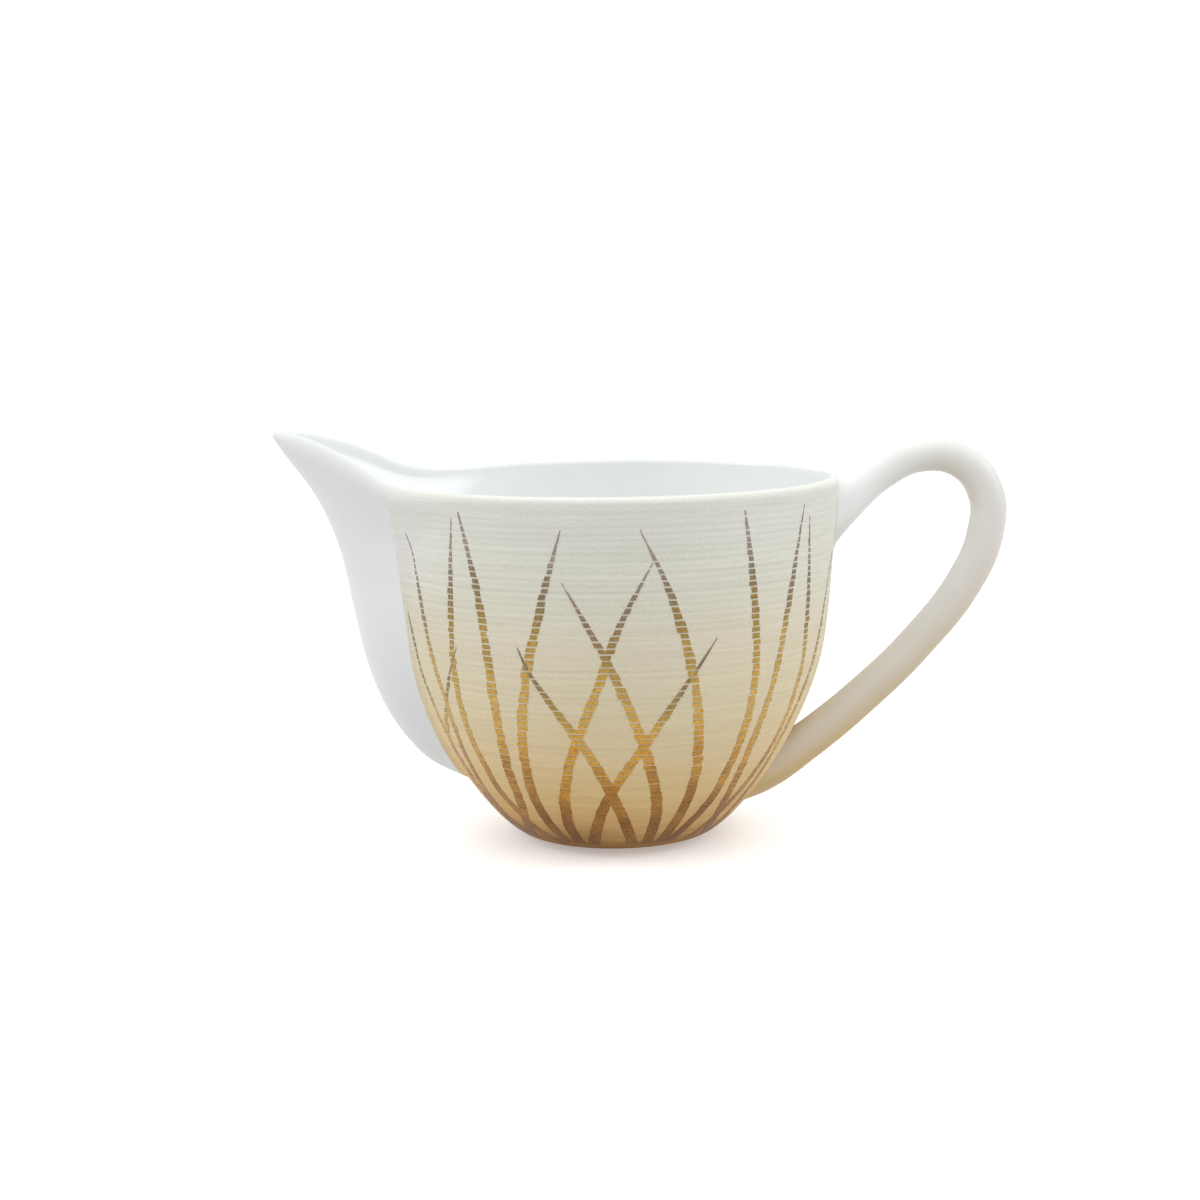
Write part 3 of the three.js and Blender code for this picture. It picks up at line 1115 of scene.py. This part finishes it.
@dataclass
class FootRing:
    """The low ring that the jug stands on."""

    radius: float = 12.95
    width: float = 2.6
    height: float = 0.9
    edge: float = 0.25
    sides: int = 144

    def build(self) -> Piece:
        """Makes the ring from a disc: inset both faces, join them through and round the edges."""
        clear_selection()
        bpy.ops.mesh.primitive_cylinder_add(
            vertices=self.sides, radius=self.radius * MM, depth=self.height * MM,
            location=(0, 0, self.height / 2 * MM), end_fill_type="NGON",
        )
        piece = bpy.context.object
        piece.name = "foot"
        bpy.ops.object.transform_apply(location=True)
        pick(piece, Part.FACE, lambda face: abs(face.normal.z) > 0.9)
        bpy.ops.mesh.inset(thickness=self.width * MM, use_individual=True)
        bpy.ops.mesh.bridge_edge_loops()
        bpy.ops.object.mode_set(mode="OBJECT")
        apply_modifier(piece, "BEVEL", width=self.edge * MM, segments=3, limit_method="ANGLE")
        smooth(piece, 40)
        return piece


class Root(Enum):
    """The handle's two roots on the bowl."""

    UPPER = "upper_slip_ring"
    LOWER = "lower_slip_ring"


@dataclass
class Handle:
    """The round loop handle, thicker where it meets the bowl, and the slip that fixes both its ends."""

    form: JugForm
    route: tuple[tuple[float, float, float], ...] = (
        (38.5, 60.0, 5.6), (46.0, 67.3, 4.7), (53.1, 72.7, 3.8), (61.0, 76.05, 3.42), (69.5, 74.9, 3.5),
        (74.6, 68.6, 3.62), (74.7, 60.4, 3.7), (70.9, 51.0, 3.68), (61.1, 38.3, 3.64), (50.4, 27.8, 3.74),
        (38.4, 18.0, 3.98), (29.5, 12.0, 4.15), (21.0, 9.0, 4.2),
    )
    sink: float = 1.0
    slip_radius: float = 0.42
    steps: int = 14
    roundness: int = 11
    root_roundness: int = 8
    core_sides: int = 96
    core_rings: int = 40
    core_bottom: float = 1.3
    core_top: float = 90.0

    def curve(self) -> Piece:
        """Draws the handle's middle line as a round-section curve."""
        clear_selection()
        bpy.ops.curve.primitive_bezier_curve_add(location=(0, 0, 0))
        curve = bpy.context.object
        spline = curve.data.splines[0]
        spline.bezier_points.add(len(self.route) - len(spline.bezier_points))
        for point, (x, z, radius) in zip(spline.bezier_points, self.route):
            point.co = (x * MM, 0, z * MM)
            point.handle_left_type = "AUTO"
            point.handle_right_type = "AUTO"
            point.radius = radius
        spline.resolution_u = self.steps
        curve.data.dimensions = "3D"
        curve.data.bevel_depth = MM
        curve.data.bevel_resolution = self.roundness
        curve.data.use_fill_caps = True
        curve.data.twist_mode = "MINIMUM"
        return curve

    def core(self) -> Piece:
        """Makes a solid of the bowl's inside half, to trim the handle's ends with."""
        rings = np.linspace(3, self.form.rim_height, self.core_rings)
        heights = np.concatenate([[self.core_bottom], rings, [self.core_top]])
        radii = self.form.round_radius(heights, self.sink)
        clear_selection()
        bpy.ops.mesh.primitive_circle_add(
            vertices=self.core_sides, radius=radii[0] * MM, fill_type="NGON",
            location=(0, 0, heights[0] * MM),
        )
        core = bpy.context.object
        bpy.ops.object.transform_apply(location=True)
        bpy.ops.object.mode_set(mode="EDIT")
        bpy.ops.mesh.select_all(action="SELECT")
        for ring in range(1, len(heights)):
            climb = (heights[ring] - heights[ring - 1]) * MM
            bpy.ops.mesh.extrude_region_move(TRANSFORM_OT_translate={"value": (0, 0, climb)})
            grow = radii[ring] / radii[ring - 1]
            bpy.ops.transform.resize(value=(grow, grow, 1), center_override=(0, 0, heights[ring] * MM))
        bpy.ops.mesh.select_all(action="SELECT")
        bpy.ops.mesh.normals_make_consistent(inside=False)
        bpy.ops.object.mode_set(mode="OBJECT")
        return core

    def build(self) -> Piece:
        """Makes the handle, trimmed to sit in the bowl's wall."""
        piece = self.curve()
        bpy.ops.object.convert(target="MESH")
        piece = bpy.context.object
        piece.name = "loop_handle"
        weld(piece)
        core = self.core()
        apply_modifier(piece, "BOOLEAN", operation="DIFFERENCE", object=core, solver="EXACT")
        bpy.data.objects.remove(core)
        smooth(piece, 60)
        return piece

    def root_line(self, root: Root) -> Array:
        """Gives the closed line where the handle's skin meets the bowl's, at one root."""
        clear_selection()
        sample = self.curve()
        sample.data.bevel_resolution = self.root_roundness
        sample.data.use_fill_caps = False
        bpy.ops.object.convert(target="MESH")
        sample = bpy.context.object
        points = np.empty(len(sample.data.vertices) * 3)
        sample.data.vertices.foreach_get("co", points)
        bpy.data.objects.remove(sample)
        sides = 4 + 2 * self.root_roundness
        rings = points.reshape(-1, sides, 3) / MM
        if root is Root.LOWER:
            rings = rings[::-1]
        line = []
        for side in range(sides):
            strand = rings[:, side, :]
            outside = np.hypot(strand[:, 0], strand[:, 1]) - self.form.round_radius(strand[:, 2]) > 0
            first = int(np.argmax(outside))
            a, b = strand[first - 1], strand[first]
            gap_a = self.form.round_radius(a[2]) - math.hypot(a[0], a[1])
            gap_b = math.hypot(b[0], b[1]) - self.form.round_radius(b[2])
            line.append(a + (b - a) * gap_a / (gap_a + gap_b))
        return np.array(line)

    def build_slip(self, root: Root) -> Piece:
        """Makes the ring of slip round one root."""
        return slip_bead(root.value, self.root_line(root), self.slip_radius, closed=True)


def slip_bead(name: str, line: Array, radius: float, closed: bool) -> Piece:
    """Makes a fine bead of slip along a line.

    Args:
        name: The bead's name.
        line: N by 3 points in millimetres.
        radius: The bead's radius in millimetres.
        closed: Whether it runs back to its start.

    Returns:
        The bead as a mesh.
    """
    clear_selection()
    bpy.ops.curve.primitive_nurbs_path_add(location=(0, 0, 0))
    bead = bpy.context.object
    bead.name = name
    spline = bead.data.splines[0]
    spline.points.add(len(line) - len(spline.points))
    for point, place in zip(spline.points, line):
        point.co = (*(place * MM), 1.0)
    spline.use_cyclic_u = closed
    spline.use_endpoint_u = not closed
    spline.order_u = 3
    spline.resolution_u = 4
    bead.data.bevel_depth = radius * MM
    bead.data.bevel_resolution = 3
    bead.data.use_fill_caps = not closed
    bpy.ops.object.convert(target="MESH")
    bead = bpy.context.object
    weld(bead, 0.001)
    smooth(bead, 60)
    return bead


@dataclass
class SpoutSeam:
    """The slip that joins the spout to the bowl, wiped almost flush."""

    form: JugForm
    radius: float = 0.4
    buried: float = 0.8
    foot_gap: float = 0.6
    rim_gap: float = 1.6
    crowding: float = 1.5
    points: int = 40

    def build(self) -> Piece:
        """Makes the seam from the lip on one side down under the nose and up to the other side."""
        share = np.linspace(0, 1, self.points)
        climb = self.form.rim_height - self.form.spout_bottom - self.foot_gap - self.rim_gap
        rise = self.form.spout_bottom + self.foot_gap + climb * share ** self.crowding
        x, y = self.form.outline(self.form.seam_way(rise), rise, self.buried)
        near = np.stack([x, -y, rise], axis=-1)
        far = near * np.array([1, -1, 1])
        return slip_bead("spout_seam", np.concatenate([near[::-1], far]), self.radius, closed=False)


# ---------------------------------------------------------- the painted grass


@dataclass(frozen=True)
class Blade:
    """One painted blade of grass.

    Attributes:
        line: The bearing, in degrees from the spout's direction, at each height in millimetres.
        boldness: How broad it is beside the others.
    """

    line: SmoothLine
    boldness: float = 1.0


def blade(*knots: tuple[float, float], boldness: float = 1.0) -> Blade:
    """Makes a blade from (height, bearing) knots, from its foot to its tip."""
    return Blade(SmoothLine(knots), boldness)


@dataclass
class GoldGrass:
    """Blades of gold lustre, brushed over the ribs so that the gold caught mainly on their crests."""

    form: JugForm
    bowl: Bowl
    lift: float = 0.045
    film: float = 0.06
    gap: SmoothLine = SmoothLine(((2, 0.12), (12, 0.2), (20, 0.3), (40, 0.34), (60, 0.34), (73, 0.3)))
    joined: SmoothLine = SmoothLine(((2, 1.0), (7, 0.85), (11, 0.5), (16, 0.16), (24, 0.04), (73, 0.0)))
    steadiness: SmoothLine = SmoothLine(((2, 0.03), (12, 0.05), (25, 0.1), (73, 0.1)))
    tip_length: float = 15.0
    tip_taper: float = 0.75
    least_width: float = 0.12
    thin_length: float = 24.0
    thread_length: float = 6.0
    thread_chance: float = 0.8
    raggedness: float = 0.05
    width: SmoothLine = SmoothLine(((2, 2.3), (15, 2.15), (30, 1.9), (50, 1.65), (70, 1.45)))
    across: int = 4
    seed: int = 21
    front: tuple[Blade, ...] = (
        blade((3, 38), (10, 29), (20, 26), (31, 26), (40, 24.5), (49, 23.5), boldness=0.6),
        blade((3, 30), (10, 25.5), (18, 24.5), (23, 26.5), (31.5, 35.5), (43.5, 45.5), boldness=0.7),
        blade((3, 34), (10, 31), (20, 33), (31.5, 35.5), (45, 33), (65, 29), boldness=0.75),
        blade((2, 60), (4, 53.5), (10, 45), (21, 42), (36, 43), (52, 45), (68, 47.5), boldness=0.85),
        blade((2.4, 40), (6, 45), (10, 49.5), (20, 53), (40, 56), (54, 54.5), (71, 49.5)),
        blade((2.4, 63.5), (6, 60.5), (11, 59), (21, 60.5), (37, 66), (55, 72.5), (67.5, 77.5)),
        blade((2.4, 97.5), (11, 91), (21.5, 83.5), (31.5, 75), (41, 67), (45.5, 64.5)),
        blade((2.4, 105), (10, 105), (21.5, 99.7), (32, 94), (48, 83.8), (57.5, 77)),
        blade((2.4, 70.5), (6, 69.2), (11, 70), (21.5, 75.3), (35, 83.9), (51, 92), (61, 99)),
        blade((2.4, 112), (10, 115.5), (16, 116), (27, 113.5), (40, 109.3), (55.5, 102.8), (66.5, 96)),
        blade((2.4, 77.5), (12.5, 85.2), (26.5, 98.5), (36.5, 107), (46, 115.5)),
        blade((2.4, 117), (6, 121.3), (10, 125.6), (20, 128.5), (38, 128.5), (53.5, 126), (71, 121.8)),
        blade((2.4, 141), (8, 137), (17.5, 135), (35, 136), (55, 139.5), (69, 143), boldness=0.9),
        blade(
            (2.4, 130), (6, 135.5), (11, 141.5), (21.5, 148), (34, 149), (50, 148), (66.5, 146),
            boldness=0.85,
        ),
        blade((2.4, 147), (12, 151), (28, 154), (43, 159), (55, 164), (58.5, 166.5), boldness=0.8),
    )

    def dashes(self, line: SmoothLine) -> list[tuple[float, float]]:
        """Gives the rib crests that a blade crosses, each as the ends of its gold along the bowl's side."""
        foot, tip = (self.bowl.travel_at(line.knots[end][0]) for end in (0, -1))
        crests = []
        for below, above in zip(self.bowl.grooves, self.bowl.grooves[1:]):
            if foot <= (below + above) / 2 <= tip:
                gap = float(self.gap.at(self.bowl.height_at(below)))
                crests.append((below + gap / 2, above - gap / 2))
        return crests

    def build_blade(self, name: str, painted: Blade, side: int, chance: random.Random) -> Piece:
        """Makes one blade as a row of thin dashes.

        Args:
            name: The blade's name.
            painted: Its line and boldness.
            side: 1 for the front of the jug, -1 for the back.
            chance: The seeded source of its unevenness.

        Returns:
            The blade.
        """
        line = painted.line
        tip = line.knots[-1][0]
        dashes = self.dashes(line)
        levels = [float(self.bowl.height_at(dash[0])) for dash in dashes]
        wobble = [float(self.steadiness.at(level)) for level in levels]
        shift = np.array([[chance.gauss(0, size), chance.gauss(0, size)] for size in wobble])
        ragged = np.array([chance.uniform(-self.raggedness, self.raggedness) for _ in dashes])
        touching = []
        for level in levels:
            at_tip = level > tip - self.thread_length
            likely = self.thread_chance if at_tip else float(self.joined.at(level))
            touching.append(chance.random() < likely)

        def place(column: Array, row: Array) -> Array:
            """Lays the strip on the bowl, three rows of points to each dash."""
            dash = np.minimum(row // 3, len(dashes) - 1)
            part = np.where(row // 3 > len(dashes) - 1, 2, row % 3) / 2
            ends = np.array(dashes)[dash]
            travel = ends[:, 0] + (ends[:, 1] - ends[:, 0]) * part + ragged[dash]
            height = self.bowl.height_at(travel)
            fade = np.clip((tip - height) / self.tip_length, 0.0, 1) ** self.tip_taper
            half = self.width.at(height) / 2 * painted.boldness * np.maximum(fade, self.least_width)
            across = column / self.across
            offset = (across * 2 - 1) * half
            offset += (shift[dash, 0] * (1 - across) + shift[dash, 1] * across) * fade
            radius = self.form.round_radius(height)
            bearing = line.at(height) + np.degrees(offset / radius)
            points = self.form.skin_point(bearing * side, height)
            return points + self.outward(points, height) * self.lift

        def between(row: int) -> bool:
            """Says whether a row of faces is a groove that the gold did not reach."""
            return row % 3 == 2 and not touching[row // 3]

        piece = sheet_of_clay(name, self.across, len(dashes) * 3 - 1, place, between)
        self.mark_thinness(piece, tip)
        weld(piece)
        self.face_out(piece)
        apply_modifier(piece, "SOLIDIFY", thickness=self.film * MM, offset=-1.0, use_rim=True)
        return piece

    def outward(self, points: Array, height: Array) -> Array:
        """Gives the bowl's outward direction at each point."""
        rise = 0.4
        lean = (self.form.round_radius(height + rise) - self.form.round_radius(height - rise)) / (2 * rise)
        reach = np.hypot(points[:, 0], points[:, 1])
        away = np.stack([points[:, 0] / reach, points[:, 1] / reach, -lean], axis=-1)
        return away / np.linalg.norm(away, axis=1)[:, None]

    def mark_thinness(self, piece: Piece, tip: float) -> None:
        """Stores on each point how thin the gold was brushed, from 0 low down to 1 at the tip."""
        heights = np.array([vertex.co.z for vertex in piece.data.vertices]) / MM
        thin = np.clip(1 - (tip - heights) / self.thin_length, 0, 1)
        layer = piece.data.attributes.new("thinness", "FLOAT", "POINT")
        layer.data.foreach_set("value", thin.astype(np.float32))

    def face_out(self, piece: Piece) -> None:
        """Turns each loose dash so that its face looks away from the bowl."""

        def looks_in(face: object) -> bool:
            """Says whether a face looks at the bowl."""
            centre = face.calc_center_median()
            return face.normal.dot(Vector((centre.x, centre.y, 0))) < 0

        pick(piece, Part.FACE, looks_in)
        bpy.ops.mesh.flip_normals()
        bpy.ops.object.mode_set(mode="OBJECT")

    def build(self) -> Piece:
        """Makes all the blades and joins them into one painted layer."""
        chance = random.Random(self.seed)
        blades = []
        for side in (1, -1):
            for number, painted in enumerate(self.front):
                blades.append(self.build_blade(f"blade_{side}_{number}", painted, side, chance))
        clear_selection()
        for piece in blades:
            piece.select_set(True)
        bpy.context.view_layer.objects.active = blades[0]
        bpy.ops.object.join()
        blades[0].name = "gold_grasses"
        smooth(blades[0], 40)
        return blades[0]


# ------------------------------------------------------------------ the studio


@dataclass(frozen=True)
class Softbox:
    """A square lamp.

    Attributes:
        name: Its name.
        place: Where it stands, in metres.
        power: Its power in watts.
    """

    name: str
    place: tuple[float, float, float]
    power: float


@dataclass
class Studio:
    """A plain pale floor, soft light all round and the camera."""

    floor_radius: float = 3.0
    floor_drop: float = 0.0001
    floor_glow: float = 0.3
    lamp_size: float = 0.9
    aim: tuple[float, float, float] = (0, 0, 0.04)
    lamps: tuple[Softbox, ...] = (
        Softbox("window_left", (-1.5, -0.2, 0.9), 5.0),
        Softbox("window_right", (1.5, -0.1, 0.9), 5.5),
    )
    ground_light: float = 0.75
    horizon_light: float = 0.6
    zenith_light: float = 1.6
    seen_light: float = 1.1
    camera_distance: float = 0.4145
    camera_height: float = 0.108586
    camera_side: float = -0.002844
    pitch: float = 8.35
    roll: float = 0.80
    lens: float = 62.325

    def build(self) -> None:
        """Sets the floor, the lights and the camera."""
        self.lay_floor()
        for lamp in self.lamps:
            self.light(lamp)
        self.set_world()
        self.set_camera()

    def lay_floor(self) -> None:
        """Lays the floor a hair under the foot, so bright that it shows white."""
        clear_selection()
        bpy.ops.mesh.primitive_circle_add(
            vertices=96, radius=self.floor_radius, fill_type="NGON", location=(0, 0, -self.floor_drop)
        )
        floor = bpy.context.object
        floor.name = "studio_floor"
        bpy.ops.object.transform_apply(location=True)
        material, add = new_material("white_paper_floor")
        paper = add("BsdfPrincipled", {
            "Base Color": linear("f4f4f3"), "Roughness": 0.9,
            "Emission Color": linear("ffffff"), "Emission Strength": self.floor_glow,
        })
        add("OutputMaterial", {"Surface": paper})
        floor.data.materials.append(material)
        floor.visible_diffuse = False

    def light(self, lamp: Softbox) -> None:
        """Adds a softbox that faces the jug."""
        clear_selection()
        turn = (Vector(self.aim) - Vector(lamp.place)).to_track_quat("-Z", "Y").to_euler()
        bpy.ops.object.light_add(type="AREA", location=lamp.place, rotation=turn)
        softbox = bpy.context.object
        softbox.name = lamp.name
        softbox.data.shape = "SQUARE"
        softbox.data.size = self.lamp_size
        softbox.data.energy = lamp.power

    def set_world(self) -> None:
        """Gives a white surround, brighter overhead, whose light on the jug is softer than it looks."""
        world = bpy.data.worlds.new("white_surround")
        bpy.context.scene.world = world
        world.use_nodes = True
        world.node_tree.nodes.clear()
        add = partial(add_node, world.node_tree)
        direction = add("TexCoord").outputs["Generated"]
        up = add("SeparateXYZ", {"Vector": direction}).outputs["Z"]
        below = add("MapRange", {0: up, 1: -1.0, 2: 0.0, 3: self.ground_light, 4: self.horizon_light})
        rise = self.zenith_light - self.horizon_light
        above = add("MapRange", {0: up, 1: 0.0, 2: 1.0, 3: 0.0, 4: rise})
        glow = add("Math", {0: below, 1: above}, operation="ADD")
        seen = add("LightPath").outputs["Is Camera Ray"]
        strength = add("Mix", {0: seen, 2: glow, 3: self.seen_light}, data_type="FLOAT")
        surround = add("Background", {"Color": linear("fdfdff"), "Strength": strength})
        add("OutputWorld", {"Surface": surround})

    def set_camera(self) -> None:
        """Places the camera in front of the bowl, tipped down a little."""
        clear_selection()
        data = bpy.data.cameras.new("camera")
        data.lens = self.lens
        camera = bpy.data.objects.new("camera", data)
        bpy.context.collection.objects.link(camera)
        tilt = Matrix.Rotation(math.radians(90 - self.pitch), 4, "X")
        turn = Matrix.Rotation(math.radians(-self.roll), 4, "Z")
        place = Matrix.Translation((axis_x() + self.camera_side, -self.camera_distance, self.camera_height))
        camera.matrix_world = place @ tilt @ turn
        bpy.context.scene.camera = camera


def main() -> None:
    """Builds the jug piece by piece, then the studio round it."""
    logging.basicConfig(level=logging.INFO, format="%(name)s: %(message)s")
    bpy.context.scene.view_settings.view_transform = "Standard"
    biscuit = BiscuitPorcelain().make()
    satin = SatinPorcelain().make()
    # The handle's satin: a sand tint with painted warm bounce light from below, and a painted highlight on
    # the upper arm.
    satin_handle = SatinPorcelain(name="satin_porcelain_with_drifted_sand", sand_and_bounce_tint=1.0).make()
    glaze = ClearGlaze().make()
    gold = GoldLustre().make()
    ground = GroundFoot().make()

    bowl = Bowl(FORM)
    handle = Handle(FORM)
    finish_piece(bowl.build(), biscuit, "biscuit_porcelain", "bowl")
    finish_piece(Spout(FORM).build(), satin, "satin_porcelain", "spout")
    finish_piece(GlazeLining(FORM).build(), glaze, "clear_glaze", "inner_glaze")
    finish_piece(FootRing().build(), ground, "bare_foot", "foot_ring")
    finish_piece(handle.build(), satin_handle, "satin_porcelain", "handle")
    finish_piece(handle.build_slip(Root.UPPER), satin, "slip", "handle_upper_slip_joint")
    finish_piece(handle.build_slip(Root.LOWER), satin_handle, "slip", "handle_lower_slip_joint")
    finish_piece(SpoutSeam(FORM).build(), satin, "slip", "spout_slip_seam")
    finish_piece(GoldGrass(FORM, bowl).build(), gold, "gold_lustre")
    Studio().build()


if __name__ == "__main__":
    main()
